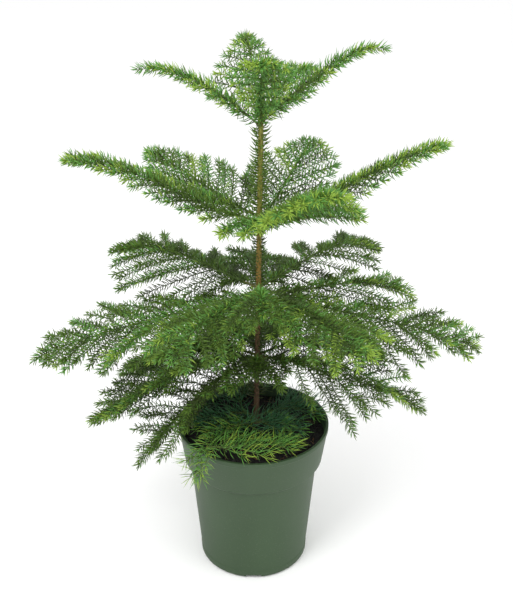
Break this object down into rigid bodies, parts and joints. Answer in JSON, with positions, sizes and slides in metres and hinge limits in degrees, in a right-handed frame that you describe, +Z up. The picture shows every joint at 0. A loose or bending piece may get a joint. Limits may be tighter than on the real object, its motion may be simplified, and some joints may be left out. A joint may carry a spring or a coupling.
{
  "type": "potted norfolk island pine",
  "caption": "Young norfolk island pine in a round nursery pot: a thin upright trunk with tiers of flat needle sprays, and soft shoots lying on the soil.",
  "frame": {"origin": "middle of the pot's flat underside, on the surface that the pot stands on", "axes": "+Z up along the trunk, -Y towards the front of the plant, +X to its right as seen from the front"},
  "size_m": [0.4715, 0.3448, 0.5961],
  "materials": {
    "pot": "matte",
    "soil": "matte",
    "trunk_bark": "matte",
    "bough_bark": "matte",
    "needles_fresh": "satin",
    "needles_mature": "satin",
    "needles_soft": "satin"
  },
  "bodies": {
    "root": {"pot": "pot", "soil": "soil", "trunk": "trunk_bark", "top_left_bough": "bough_bark", "top_left_foliage": "needles_fresh", "top_right_bough": "bough_bark", "top_right_foliage": "needles_fresh", "top_back_bough": "bough_bark", "top_back_foliage": "needles_fresh", "top_back_right_bough": "bough_bark", "top_back_right_foliage": "needles_fresh", "top_front_bough": "bough_bark", "top_front_foliage": "needles_fresh", "upper_left_bough": "bough_bark", "upper_left_foliage": "needles_fresh", "upper_right_bough": "bough_bark", "upper_right_foliage": "needles_fresh", "upper_back_left_bough": "bough_bark", "upper_back_left_foliage": "needles_fresh", "upper_back_right_bough": "bough_bark", "upper_back_right_foliage": "needles_fresh", "upper_front_bough": "bough_bark", "upper_front_foliage": "needles_fresh", "wide_left_bough": "bough_bark", "wide_left_foliage": "needles_mature", "wide_right_bough": "bough_bark", "wide_right_foliage": "needles_mature", "wide_back_left_bough": "bough_bark", "wide_back_left_foliage": "needles_mature", "wide_back_bough": "bough_bark", "wide_back_foliage": "needles_mature", "wide_back_right_bough": "bough_bark", "wide_back_right_foliage": "needles_mature", "wide_side_right_bough": "bough_bark", "wide_side_right_foliage": "needles_mature", "wide_front_right_bough": "bough_bark", "wide_front_right_foliage": "needles_mature", "wide_front_bough": "bough_bark", "wide_front_foliage": "needles_mature", "wide_front_left_bough": "bough_bark", "wide_front_left_foliage": "needles_mature", "low_left_bough": "bough_bark", "low_left_foliage": "needles_mature", "low_back_left_bough": "bough_bark", "low_back_left_foliage": "needles_mature", "low_back_bough": "bough_bark", "low_back_foliage": "needles_mature", "low_back_right_bough": "bough_bark", "low_back_right_foliage": "needles_mature", "low_right_bough": "bough_bark", "low_right_foliage": "needles_mature", "low_front_right_bough": "bough_bark", "low_front_right_foliage": "needles_mature", "low_front_bough": "bough_bark", "low_front_foliage": "needles_mature", "low_front_left_bough": "bough_bark", "low_front_left_foliage": "needles_mature", "shoot_front": "needles_soft", "shoot_left": "needles_soft", "shoot_right": "needles_soft"}
  },
  "joints": []
}
